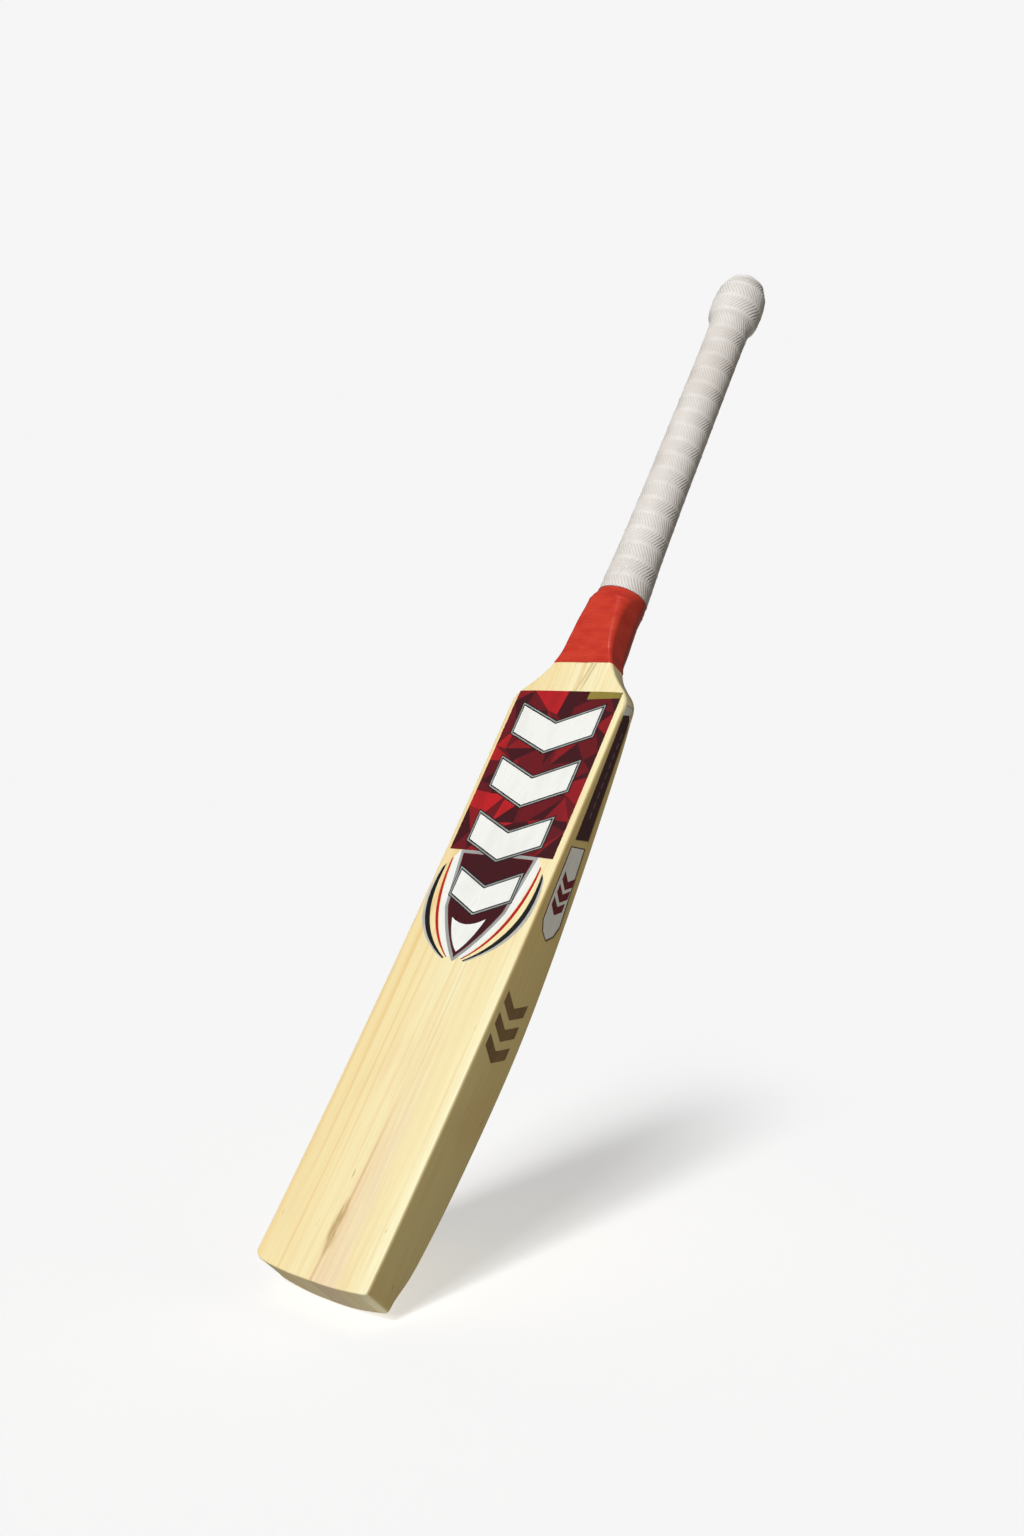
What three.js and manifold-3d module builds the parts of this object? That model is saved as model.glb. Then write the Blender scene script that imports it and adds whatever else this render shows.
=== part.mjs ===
// Cricket bat, upright on its toe. Millimetres, +Z up the handle, playing face toward -Y, +X across it.
// The wood is one lofted envelope, from the toe to the end of the handle. The blade and the cane handle
// are cut out of it along the V splice, and every wrap and label is a thin shell that follows it.
import * as THREE from 'three';
import { mergeVertices } from 'three/addons/utils/BufferGeometryUtils.js';
import Module from 'manifold-3d';

const wasm = await Module();
wasm.setup();

// Overall size
const BLADE_WIDTH = 108;
const SHOULDER_Z = 464;
const HANDLE_TOP_Z = 858;
const BAT_LENGTH = 865;

// Blade
const HALF_BLADE = BLADE_WIDTH / 2;
const BOW = 3.3;
const FACE_CROWN = 1.0;
const FACE_FLAT = 0.5;
const TOE_SLANT = THREE.MathUtils.degToRad(7);
const TOE_ARCH = 3.5;
const TOE_FLAT_HALF = 10;
const TOE_CORNER_LEFT = 8;
const TOE_CORNER_RIGHT = 3;

// Handle
const AXIS_Y = 15.4;
const HANDLE_LEAN = THREE.MathUtils.degToRad(3.33);
const GRIP_START_Z = 555;
const RADIUS_AT_THROAT = 16.6;
const RADIUS_AT_WAIST = 14.8;
const WAIST_Z = 640;
const RADIUS_AT_TOP = 13.6;

// Splice and glued layers
const SPLICE_TIP_Z = 325;
const SPLICE_TIP_HALF = 1.5;
const SPLICE_MOUTH_Z = 468;
const SPLICE_HALF = 19;
const SHOULDER_END_Z = 508;
const LAYER_PITCH = 7.6;
const SPRING_THICKNESS = 1.6;
const SPRING_START_Z = 350;
const CANE_COLUMN_HALF = 5;
const GLUE_GAP = 0.15;
const GAP = 0.3;

// Wraps and labels
const TWINE_THICKNESS = 0.7;
const TWINE_START_Z = 520;
const TWINE_END_Z = 853;
const TAPE_THICKNESS = 0.6;
const TAPE_START_Z = 489;
const TAPE_LIFT_START_Z = 492;
const TAPE_LIFT_END_Z = 513;
const TAPE_ROLL = 1;
const TAPE_ROLL_START_Z = 535;
const TAPE_ROLL_END_Z = 547;
const LABEL_THICKNESS = 0.3;

const FAR = 120;

// A smooth curve through [z, value] knots, level beyond both ends.
function profile(knots) {
  const slope = (i) => {
    const a = knots[Math.max(i - 1, 0)];
    const b = knots[Math.min(i + 1, knots.length - 1)];
    const isEnd = i === 0 || i === knots.length - 1;
    return isEnd ? 0 : (b[1] - a[1]) / (b[0] - a[0]);
  };
  return (z) => {
    const last = knots.length - 1;
    if (z <= knots[0][0]) return knots[0][1];
    if (z >= knots[last][0]) return knots[last][1];
    const i = knots.findIndex((knot) => knot[0] > z) - 1;
    const span = knots[i + 1][0] - knots[i][0];
    const t = (z - knots[i][0]) / span;
    const rise = knots[i + 1][1] - knots[i][1];
    const startSlope = slope(i) * span;
    const endSlope = slope(i + 1) * span;
    const bend = startSlope + endSlope - 2 * rise;
    return knots[i][1] + t * (startSlope + t * (rise - startSlope - bend + t * bend));
  };
}

const along = (z) => (z - SHOULDER_Z) / Math.cos(HANDLE_LEAN);
const axisY = (z) => AXIS_Y - Math.tan(HANDLE_LEAN) * (z - SHOULDER_Z);
const handleRadius = profile([
  [GRIP_START_Z, RADIUS_AT_THROAT],
  [594, 15.6],
  [WAIST_Z, RADIUS_AT_WAIST],
  [HANDLE_TOP_Z, RADIUS_AT_TOP],
]);
const bow = (z) => (z > 0 && z < SHOULDER_Z ? 4 * BOW * (z / SHOULDER_Z) * (1 - z / SHOULDER_Z) : 0);

// How round a section is: 0 is the blade, 1 is the handle.
const roundness = profile([[430, 0], [490, 0.6], [GRIP_START_Z, 1]]);
const halfWidth = profile([
  [452, HALF_BLADE],
  [459, 52.6],
  [465, 48.5],
  [472, 41],
  [480, 33.5],
  [490, 27],
  [500, 22.4],
  [512, 19.4],
  [530, 17.6],
  [GRIP_START_Z, RADIUS_AT_THROAT],
]);
const edgeDepth = profile([
  [0, 26],
  [30, 31.3],
  [88, 36.2],
  [176, 38.7],
  [236, 36.6],
  [327, 28.8],
  [419, 18.5],
  [SHOULDER_Z, 12],
  [490, 12.6],
]);
const spineDepth = profile([
  [0, 32],
  [50, 44],
  [110, 55],
  [185, 61],
  [260, 58.5],
  [340, 50],
  [410, 41.5],
  [SHOULDER_Z, 35],
  [490, 31],
]);
const frontRise = profile([[SHOULDER_Z, 0], [490, 2], [512, 4.4], [530, 6.2], [GRIP_START_Z, 6.4]]);
const frontCorner = profile([
  [460, 2.5],
  [490, 2.5],
  [512, 3.2],
  [530, 5],
  [545, 9],
  [GRIP_START_Z, RADIUS_AT_THROAT],
]);

// One closed outline of the envelope at height z, grown outward by grow. Counter-clockwise from above.
function section(z, grow) {
  const onHandle = z >= GRIP_START_Z;
  const w = (onHandle ? handleRadius(z) : halfWidth(z)) + grow;
  const front = (onHandle ? axisY(z) - handleRadius(z) : bow(z) - frontRise(z)) - grow;
  const corner = onHandle ? w : Math.min(frontCorner(z) + grow / 2, w);
  const round = roundness(z);
  const throatBlend = THREE.MathUtils.smoothstep(z, 490, 530);
  const edge = THREE.MathUtils.lerp(edgeDepth(z) + bow(z), axisY(z), throatBlend);
  const handleBack = axisY(z) + (onHandle ? handleRadius(z) : halfWidth(z));
  const back = THREE.MathUtils.lerp(spineDepth(z) + bow(z), handleBack, throatBlend) + grow;
  const half = [];
  for (const t of [0, FACE_FLAT, (1 + FACE_FLAT) / 2, 1]) {
    const x = t * (w - corner);
    const fall = Math.max(0, (x / w - FACE_FLAT) / (1 - FACE_FLAT)) ** 2;
    half.push([x, front - FACE_CROWN * (1 - round) * (1 - fall)]);
  }
  for (const angle of [0.25, 0.5, 0.75, 1]) {
    const turn = (angle * Math.PI) / 2;
    half.push([w - corner + corner * Math.sin(turn), front + corner - corner * Math.cos(turn)]);
  }
  for (let i = 0; i <= 7; i += 1) {
    const t = Math.cos((i / 7) * (Math.PI / 2));
    const bell = 0.65 * 0.5 * (1 + Math.cos(Math.PI * t)) + 0.35 * (1 - t * t);
    const arc = Math.sqrt(1 - t * t);
    half.push([w * t, edge + (back - edge) * THREE.MathUtils.lerp(bell, arc, round)]);
  }
  const mirrored = half.slice(1, -1).reverse();
  return [...half, ...mirrored.map(([x, y]) => [-x, y])];
}

const BLADE_LEVELS = Array.from({ length: 19 }, (_, i) => -10 + 25 * i);
const SHOULDER_LEVELS = [447, 452, 456, 460, 464, 468, 472, 476, 481];
const THROAT_LEVELS = [486, 492, 498, 505, 513, 521, 529, 535, 541, 547];
const HANDLE_STEP = (BAT_LENGTH - GRIP_START_Z) / 8;
const HANDLE_LEVELS = Array.from({ length: 9 }, (_, i) => GRIP_START_Z + HANDLE_STEP * i);
const LEVELS = [...BLADE_LEVELS, ...SHOULDER_LEVELS, ...THROAT_LEVELS, ...HANDLE_LEVELS];

// A closed solid through one outline at each level, with a fan at both ends.
// growAt gives the growth at height z.
function loft(growAt) {
  const positions = [];
  const index = [];
  const rings = LEVELS.map((z) => section(z, growAt(z)).map(([x, y]) => [x, y, z]));
  const count = rings[0].length;
  rings.flat().forEach((point) => positions.push(...point));
  for (let ring = 0; ring < rings.length - 1; ring += 1) {
    for (let i = 0; i < count; i += 1) {
      const a = ring * count + i;
      const b = ring * count + ((i + 1) % count);
      index.push(a, b, b + count, a, b + count, a + count);
    }
  }
  for (const end of [0, rings.length - 1]) {
    const centre = positions.length / 3;
    const depth = (rings[end][0][1] + rings[end][count / 2][1]) / 2;
    positions.push(0, depth, LEVELS[end]);
    for (let i = 0; i < count; i += 1) {
      const a = end * count + i;
      const b = end * count + ((i + 1) % count);
      if (end === 0) index.push(centre, b, a);
      else index.push(centre, a, b);
    }
  }
  const geometry = new THREE.BufferGeometry();
  geometry.setAttribute('position', new THREE.Float32BufferAttribute(positions, 3));
  geometry.setIndex(index);
  return toSolid(geometry);
}

function toSolid(geometry) {
  const bare = geometry.clone();
  bare.deleteAttribute('normal');
  bare.deleteAttribute('uv');
  const merged = mergeVertices(bare, 1e-4);
  const mesh = new wasm.Mesh({
    numProp: 3,
    vertProperties: new Float32Array(merged.attributes.position.array),
    triVerts: new Uint32Array(merged.index.array),
  });
  return new wasm.Manifold(mesh);
}

function toGeometry(solid) {
  const mesh = solid.getMesh();
  const geometry = new THREE.BufferGeometry();
  geometry.setAttribute('position', new THREE.BufferAttribute(new Float32Array(mesh.vertProperties), 3));
  geometry.setIndex(new THREE.BufferAttribute(new Uint32Array(mesh.triVerts), 1));
  geometry.computeVertexNormals();
  return geometry;
}

function box(low, high) {
  const size = high.map((value, axis) => value - low[axis]);
  const geometry = new THREE.BoxGeometry(...size);
  geometry.translate(...low.map((value, axis) => value + size[axis] / 2));
  return geometry;
}

// An outline of [x, z] points, made solid from lowY to highY.
function acrossY(outline, lowY, highY) {
  const shape = new THREE.Shape(outline.map(([x, z]) => new THREE.Vector2(x, z)));
  const geometry = new THREE.ExtrudeGeometry(shape, { depth: highY - lowY, bevelEnabled: false });
  geometry.rotateX(Math.PI / 2);
  geometry.translate(0, highY, 0);
  return geometry;
}

// An outline of [y, z] points, made solid from lowX to highX.
function acrossX(outline, lowX, highX) {
  const shape = new THREE.Shape(outline.map(([y, z]) => new THREE.Vector2(y, z)));
  const geometry = new THREE.ExtrudeGeometry(shape, { depth: highX - lowX, bevelEnabled: false });
  geometry.rotateX(Math.PI / 2);
  geometry.rotateZ(Math.PI / 2);
  geometry.translate(lowX, 0, 0);
  return geometry;
}

const envelope = loft(() => 0);

// A skin round the wood. Its clearance and its thickness can change with height.
function shell(clearanceAt, thicknessAt) {
  return loft((z) => clearanceAt(z) + thicknessAt(z)).subtract(loft(clearanceAt));
}

// Everything below the arched, slanted toe.
function toeCutter() {
  const halfOutline = (corner) => {
    const curveStart = HALF_BLADE - corner;
    const archSteps = [0, 0.25, 0.5, 0.75].map((t) => THREE.MathUtils.lerp(TOE_FLAT_HALF, curveStart, t));
    const cornerSteps = [0, 0.35, 0.65, 0.88, 1].map((t) => curveStart + t * corner);
    return [...archSteps, ...cornerSteps].map((x) => {
      const arch = TOE_ARCH * ((x - TOE_FLAT_HALF) / (HALF_BLADE - TOE_FLAT_HALF)) ** 2;
      const over = Math.max(x - curveStart, 0);
      return [x, arch + corner - Math.sqrt(Math.max(corner ** 2 - over ** 2, 0))];
    });
  };
  const rightSide = halfOutline(TOE_CORNER_RIGHT).reverse();
  const leftSide = halfOutline(TOE_CORNER_LEFT).map(([x, z]) => [-x, z]);
  const outline = [[-FAR, -FAR], [FAR, -FAR], [FAR, 30], [HALF_BLADE, 30]];
  outline.push(...rightSide, ...leftSide, [-HALF_BLADE, 30], [-FAR, 30]);
  const geometry = acrossY(outline, -FAR, FAR);
  geometry.rotateX(-TOE_SLANT);
  geometry.translate(0, 0, spineDepth(0) * Math.tan(TOE_SLANT));
  return toSolid(geometry);
}

// The V below the shoulders and the whole handle above them.
function spliceZone(clearance) {
  const tip = SPLICE_TIP_HALF + clearance;
  const half = SPLICE_HALF + clearance;
  const right = [
    [tip, SPLICE_TIP_Z - clearance],
    [half, SPLICE_MOUTH_Z],
    [half, SHOULDER_END_Z - clearance],
    [FAR, SHOULDER_END_Z - clearance],
    [FAR, BAT_LENGTH + FAR],
  ];
  const left = right.map(([x, z]) => [-x, z]).reverse();
  return toSolid(acrossY([...right, ...left], -FAR, FAR));
}

// A block in the handle's own axes: y runs through the layers, z along the leaning handle.
function handleBlock(low, high) {
  const geometry = box(low, high);
  geometry.rotateX(HANDLE_LEAN);
  geometry.translate(0, AXIS_Y, SHOULDER_Z);
  return toSolid(geometry);
}

const handleSlice = (lowZ, highZ) => (
  handleBlock([-FAR, -FAR, along(lowZ)], [FAR, FAR, along(highZ)])
);

function standard(color, roughnessValue) {
  return new THREE.MeshStandardMaterial({ color, roughness: roughnessValue, metalness: 0 });
}

const bat = new THREE.Group();

function addPiece(name, geometry, color, roughnessValue, parent = bat) {
  const mesh = new THREE.Mesh(geometry, standard(color, roughnessValue));
  mesh.name = name;
  parent.add(mesh);
}

// Blade
const blade = envelope.subtract(spliceZone(GAP)).subtract(toeCutter());
addPiece('blade', toGeometry(blade), 0xf3deae, 0.5);

// Handle: four layers of three canes, with a rubber spring between each two layers
const handleWood = envelope.intersect(spliceZone(0));
const layerEdges = [-FAR, -LAYER_PITCH, 0, LAYER_PITCH, FAR];
const columnEdges = [-FAR, -CANE_COLUMN_HALF, CANE_COLUMN_HALF, FAR];
const layerInset = SPRING_THICKNESS / 2 + GLUE_GAP;
for (let layer = 0; layer < layerEdges.length - 1; layer += 1) {
  for (let column = 0; column < columnEdges.length - 1; column += 1) {
    const low = [columnEdges[column] + GLUE_GAP, layerEdges[layer] + layerInset, -SHOULDER_Z];
    const rear = layerEdges[layer + 1] - layerInset;
    const high = [columnEdges[column + 1] - GLUE_GAP, rear, along(HANDLE_TOP_Z)];
    const cane = handleWood.intersect(handleBlock(low, high));
    addPiece(`cane_${layer + 1}_${column + 1}`, toGeometry(cane), 0xd9bb82, 0.6);
  }
}
[-LAYER_PITCH, 0, LAYER_PITCH].forEach((y, i) => {
  const low = [-FAR, y - SPRING_THICKNESS / 2, SPRING_START_Z - SHOULDER_Z];
  const high = [FAR, y + SPRING_THICKNESS / 2, along(HANDLE_TOP_Z)];
  const spring = handleWood.intersect(handleBlock(low, high));
  addPiece(`spring_${i + 1}`, toGeometry(spring), 0x2b2624, 0.8);
});

// Wraps
const twine = shell(() => GAP, () => TWINE_THICKNESS).intersect(handleSlice(TWINE_START_Z, TWINE_END_Z));
addPiece('twine_binding', toGeometry(twine), 0xcfc0a0, 0.9);
const tapeClearance = (z) => (
  GAP + (GAP + TWINE_THICKNESS) * THREE.MathUtils.smoothstep(z, TAPE_LIFT_START_Z, TAPE_LIFT_END_Z)
);
const tapeThickness = (z) => (
  TAPE_THICKNESS + TAPE_ROLL * THREE.MathUtils.smoothstep(z, TAPE_ROLL_START_Z, TAPE_ROLL_END_Z)
);
const tape = shell(tapeClearance, tapeThickness)
  .intersect(handleSlice(TAPE_START_Z, GRIP_START_Z - GAP));
addPiece('red_throat_wrap', toGeometry(tape), 0xc8382a, 0.25);

// Grip and the ring that makes its bulb, turned on the leaning handle's axis
const leaning = new THREE.Group();
leaning.position.set(0, AXIS_Y, SHOULDER_Z);
leaning.rotation.x = HANDLE_LEAN;
bat.add(leaning);

function turned(points) {
  const geometry = new THREE.LatheGeometry(points.map(([r, z]) => new THREE.Vector2(r, z)), 40);
  geometry.rotateX(Math.PI / 2);
  return geometry;
}

const sleeveRadius = (z) => handleRadius(z) + 2 * GAP + TWINE_THICKNESS;
const COLLAR_START_Z = 822;
const COLLAR_END_Z = 848;
const COLLAR_RADIUS = 19.2;
const GRIP_OPENING_RADIUS = 6;
const GRIP_OUTSIDE = [
  [19.9, GRIP_START_Z],
  [19.2, 573],
  [18.3, 595],
  [17.7, 625],
  [17.2, 655],
  [16.9, 700],
  [16.5, 750],
  [16.35, 800],
  [16.8, 813],
  [19.4, 820],
  [20.8, 828],
  [20.8, 840],
  [19.5, 848],
  [16.5, 855],
  [12.2, 860.5],
  [8.6, 863.6],
];
const sleeveLevels = HANDLE_LEVELS.filter((z) => z < COLLAR_START_Z - 2).reverse();

addPiece('knob_collar', turned([
  [sleeveRadius(COLLAR_START_Z), along(COLLAR_START_Z)],
  [COLLAR_RADIUS - 1.5, along(COLLAR_START_Z)],
  [COLLAR_RADIUS, along(COLLAR_START_Z + 4)],
  [COLLAR_RADIUS, along(COLLAR_END_Z - 6)],
  [COLLAR_RADIUS - 2.5, along(COLLAR_END_Z)],
  [sleeveRadius(COLLAR_END_Z), along(COLLAR_END_Z)],
  [sleeveRadius(COLLAR_START_Z), along(COLLAR_START_Z)],
]), 0x3a3634, 0.8, leaning);

addPiece('grip_sleeve', turned([
  [sleeveRadius(GRIP_START_Z), along(GRIP_START_Z)],
  ...GRIP_OUTSIDE.map(([r, z]) => [r, along(z)]),
  [GRIP_OPENING_RADIUS, along(BAT_LENGTH)],
  [GRIP_OPENING_RADIUS, along(HANDLE_TOP_Z) + GAP],
  [sleeveRadius(HANDLE_TOP_Z), along(HANDLE_TOP_Z) + GAP],
  [sleeveRadius(HANDLE_TOP_Z), along(COLLAR_END_Z) + GAP],
  [COLLAR_RADIUS - 2.2, along(COLLAR_END_Z) + GAP],
  [COLLAR_RADIUS + GAP, along(COLLAR_END_Z - 6)],
  [COLLAR_RADIUS + GAP, along(COLLAR_START_Z + 4)],
  [COLLAR_RADIUS - 1.5 + GAP, along(COLLAR_START_Z - GAP)],
  [sleeveRadius(COLLAR_START_Z), along(COLLAR_START_Z - 2)],
  ...sleeveLevels.map((z) => [sleeveRadius(z), along(z)]),
]), 0xe4e0dc, 0.7, leaning);

// Labels: thin vinyl that follows the blade
const vinyl = shell(() => GAP, () => LABEL_THICKNESS);

const FACE_LABEL = { half: 48.8, top: 463, bottom: 325, tip: 238.5, tipHalf: 2.5 };
const labelTail = new THREE.QuadraticBezierCurve(
  new THREE.Vector2(FACE_LABEL.tipHalf, FACE_LABEL.tip),
  new THREE.Vector2(FACE_LABEL.half, FACE_LABEL.bottom - 55),
  new THREE.Vector2(FACE_LABEL.half, FACE_LABEL.bottom),
);
const tailPoints = labelTail.getPoints(10).map((point) => [point.x, point.y]);
const faceHalf = [...tailPoints, [FACE_LABEL.half, FACE_LABEL.top]];
const faceOutline = [...faceHalf, ...faceHalf.map(([x, z]) => [-x, z]).reverse()];
const faceLabel = vinyl.intersect(toSolid(acrossY(faceOutline, -30, 10)));
addPiece('face_label', toGeometry(faceLabel), 0x8a1f26, 0.3);

const stripOutline = [[9.8, 346], [22.6, 352], [11.4, 457], [3.6, 455]];
const badgeOutline = [
  [8.7, 340],
  [10.4, 300],
  [11.6, 283],
  [16, 276],
  [22.7, 272],
  [28.5, 278],
  [31, 287],
  [28.5, 305],
  [22.8, 346],
];
for (const [side, lowX, highX] of [['right', HALF_BLADE - 3, FAR], ['left', -FAR, 3 - HALF_BLADE]]) {
  const strip = vinyl.intersect(toSolid(acrossX(stripOutline, lowX, highX)));
  const badge = vinyl.intersect(toSolid(acrossX(badgeOutline, lowX, highX)));
  addPiece(`${side}_edge_strip`, toGeometry(strip), 0x3a2022, 0.35);
  addPiece(`${side}_edge_badge`, toGeometry(badge), 0xd9d6cf, 0.35);
}

const backOutline = [[0, 300], [16, 316], [16, 420], [-16, 420], [-16, 316]];
const backLabel = vinyl.intersect(toSolid(acrossY(backOutline, 20, FAR)));
addPiece('back_label', toGeometry(backLabel), 0x8a1f26, 0.3);

// Stand the bat on its lowest point, centred over the origin
bat.updateMatrixWorld(true);
const extent = new THREE.Box3().setFromObject(bat, true);
const middle = extent.getCenter(new THREE.Vector3());
bat.position.set(-middle.x, -middle.y, -extent.min.z);

export default bat;
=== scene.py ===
"""Cricket bat: the looks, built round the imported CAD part.

Shapes are worked out in millimetres in the bat's design frame, with the shoulders at z = 464, and moved to the
row frame by two offsets that are read from the CAD boxes.
"""

import math
import random

import bmesh
import bpy
import numpy as np
from mathutils import Matrix, Vector


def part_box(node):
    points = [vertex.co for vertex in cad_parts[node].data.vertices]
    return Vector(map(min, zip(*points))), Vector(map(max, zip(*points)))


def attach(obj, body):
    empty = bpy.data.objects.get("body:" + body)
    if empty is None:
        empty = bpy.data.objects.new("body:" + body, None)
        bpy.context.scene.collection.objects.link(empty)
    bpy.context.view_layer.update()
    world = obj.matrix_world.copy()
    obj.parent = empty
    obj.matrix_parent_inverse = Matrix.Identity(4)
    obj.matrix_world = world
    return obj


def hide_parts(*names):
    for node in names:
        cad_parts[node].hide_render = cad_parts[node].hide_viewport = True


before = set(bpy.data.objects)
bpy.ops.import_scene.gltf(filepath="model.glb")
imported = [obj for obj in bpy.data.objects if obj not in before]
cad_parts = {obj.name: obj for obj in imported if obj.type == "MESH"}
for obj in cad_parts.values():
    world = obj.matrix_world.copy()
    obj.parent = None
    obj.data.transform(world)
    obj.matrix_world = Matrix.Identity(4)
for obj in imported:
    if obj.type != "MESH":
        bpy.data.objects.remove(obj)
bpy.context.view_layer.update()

# ---------------------------------------------------------------- design sizes, in millimetres

SHOULDER_Z = 464.0
HANDLE_TOP_Z = 858.0
BAT_LENGTH = 865.0
HALF_BLADE = 54.0
BOW = 3.3
FACE_CROWN = 1.0
FACE_FLAT = 0.5
TOE_SLANT = math.radians(7)
TOE_ARCH = 3.5
TOE_FLAT_HALF = 10.0
TOE_CORNER_LEFT = 8.0
TOE_CORNER_RIGHT = 3.0
TOE_BACK_Y = 32.0
AXIS_Y = 15.4
HANDLE_LEAN = math.radians(3.33)
GRIP_START_Z = 555.0
TAPE_START_Z = 489.0
RADIUS_AT_THROAT = 16.6
RADIUS_AT_TOP = 13.6
SPLICE_TIP = (1.5, 325.0)
SPLICE_MOUTH = (19.0, 468.0)
BLADE_END_Z = 508.0
LAYER_PITCH = 7.6
SPRING_THICKNESS = 1.6
CANE_COLUMN_HALF = 5.0
GLUE_GAP = 0.15
SPLICE_CLEARANCE = 0.12
FRONT_OF_ALL_Y = -60
FAR = 120
SLEEVE_ALLOWANCE = 1.3
LABEL = {"half": 48.8, "top": 463.0, "bottom": 325.0, "tip": 238.5}
BADGE_FRONT_Y = 8.7

SHIFT_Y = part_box("right_edge_badge")[0].y * 1000 - BADGE_FRONT_Y
SHIFT_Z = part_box("face_label")[1].z * 1000 - LABEL["top"]


def row(points):
    """Design-frame millimetres to row-frame metres."""
    return (np.asarray(points, float).reshape(-1, 3) + (0, SHIFT_Y, SHIFT_Z)) / 1000


# ---------------------------------------------------------------- the bat's outline


def profile(knots):
    """A smooth curve through (z, value) knots, level beyond both ends."""
    zs = np.array([k[0] for k in knots], float)
    values = np.array([k[1] for k in knots], float)
    slopes = np.zeros(len(zs))
    slopes[1:-1] = (values[2:] - values[:-2]) / (zs[2:] - zs[:-2])

    def curve(z):
        z = np.clip(np.asarray(z, float), zs[0], zs[-1])
        i = np.clip(np.searchsorted(zs, z, side="right") - 1, 0, len(zs) - 2)
        span = zs[i + 1] - zs[i]
        t = (z - zs[i]) / span
        rise = values[i + 1] - values[i]
        start, end = slopes[i] * span, slopes[i + 1] * span
        bend = start + end - 2 * rise
        return values[i] + t * (start + t * (rise - start - bend + t * bend))

    return curve


def smoothstep(x, low, high):
    t = np.clip((np.asarray(x, float) - low) / (high - low), 0, 1)
    return t * t * (3 - 2 * t)


roundness = profile([(430, 0), (490, 0.6), (GRIP_START_Z, 1)])
half_width = profile(
    [
        (452, HALF_BLADE),
        (459, 52.6),
        (465, 48.5),
        (472, 41),
        (480, 33.5),
        (490, 27),
        (500, 22.4),
        (512, 19.4),
        (530, 17.6),
        (GRIP_START_Z, RADIUS_AT_THROAT),
    ]
)
edge_depth = profile(
    [(0, 26), (30, 31.3), (88, 36.2), (176, 38.7), (236, 36.6)]
    + [(327, 28.8), (419, 18.5), (SHOULDER_Z, 12), (490, 12.6)]
)
spine_depth = profile(
    [(0, 32), (50, 44), (110, 55), (185, 61), (260, 58.5), (340, 50), (410, 41.5), (SHOULDER_Z, 35), (490, 31)]
)
front_rise = profile([(SHOULDER_Z, 0), (490, 2), (512, 4.4), (530, 6.2), (GRIP_START_Z, 6.4)])
front_corner = profile(
    [(460, 2.5), (490, 2.5), (512, 3.2), (530, 5), (545, 9), (GRIP_START_Z, RADIUS_AT_THROAT)]
)


def bow(z):
    u = np.clip(np.asarray(z, float) / SHOULDER_Z, 0, 1)
    return 4 * BOW * u * (1 - u)


def axis_y(z):
    return AXIS_Y - math.tan(HANDLE_LEAN) * (z - SHOULDER_Z)


handle_radius = profile(
    [(GRIP_START_Z, RADIUS_AT_THROAT), (594, 15.6), (640, 14.8), (HANDLE_TOP_Z, RADIUS_AT_TOP)]
)


def measures(z, grow=0.0):
    """The numbers that set one section: half-width, front, corner radius, edge and back depth, roundness."""
    on_handle = z >= GRIP_START_Z
    wide = float(handle_radius(z) if on_handle else half_width(z))
    front = float(axis_y(z) - wide if on_handle else bow(z) - front_rise(z)) - grow
    corner = wide + grow if on_handle else min(float(front_corner(z)) + grow / 2, wide + grow)
    blend = float(smoothstep(z, 490, 530))
    edge = (1 - blend) * float(edge_depth(z) + bow(z)) + blend * axis_y(z)
    back = (1 - blend) * float(spine_depth(z) + bow(z)) + blend * (axis_y(z) + wide) + grow
    return wide + grow, front, corner, edge, back, float(roundness(z))


def bell(t, round_share):
    """Height of the back above the edges, from 1 on the spine to 0 at the edge."""
    hump = 0.65 * 0.5 * (1 + np.cos(np.pi * t)) + 0.35 * (1 - t * t)
    return (1 - round_share) * hump + round_share * np.sqrt(np.clip(1 - t * t, 0, 1))


def section(z, grow=0.0, face_steps=14, corner_steps=7, back_steps=22):
    """The closed outline of the wood at height z, as (x, y) points, counter-clockwise from above."""
    w, front, corner, edge, back, round_share = measures(z, grow)
    x = np.linspace(0, 1, face_steps + 1) * (w - corner)
    fall = np.clip((x / w - FACE_FLAT) / (1 - FACE_FLAT), 0, None) ** 2
    face = np.stack([x, front - FACE_CROWN * (1 - round_share) * (1 - fall)], 1)
    turn = np.linspace(0, np.pi / 2, corner_steps + 1)[1:]
    corner_drop = FACE_CROWN * (1 - round_share) * (1 - fall[-1])
    ease = np.cos(turn)
    arc = np.stack(
        [w - corner + corner * np.sin(turn), front + corner - corner * np.cos(turn) - corner_drop * ease], 1
    )
    t = np.cos(np.linspace(0, np.pi / 2, back_steps + 1))
    rear = np.stack([w * t, edge + (back - edge) * bell(t, round_share)], 1)
    half = np.concatenate([face, arc, rear])
    mirrored = half[1:-1][::-1] * (-1, 1)
    return np.concatenate([half, mirrored])


def face_y(x, z):
    """Depth of the playing face."""
    w, front, corner, _, _, round_share = measures(z)
    x = abs(x)
    fall = max(0.0, (min(x, w - corner) / w - FACE_FLAT) / (1 - FACE_FLAT)) ** 2
    crown = FACE_CROWN * (1 - round_share) * (1 - fall)
    over = min(max(x - (w - corner), 0), corner)
    return front - crown + corner - math.sqrt(corner**2 - over**2)


def back_y(x, z):
    w, _, _, edge, back, round_share = measures(z)
    return edge + (back - edge) * float(bell(min(abs(x) / w, 1), round_share))


# ---------------------------------------------------------------- mesh helpers


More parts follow.
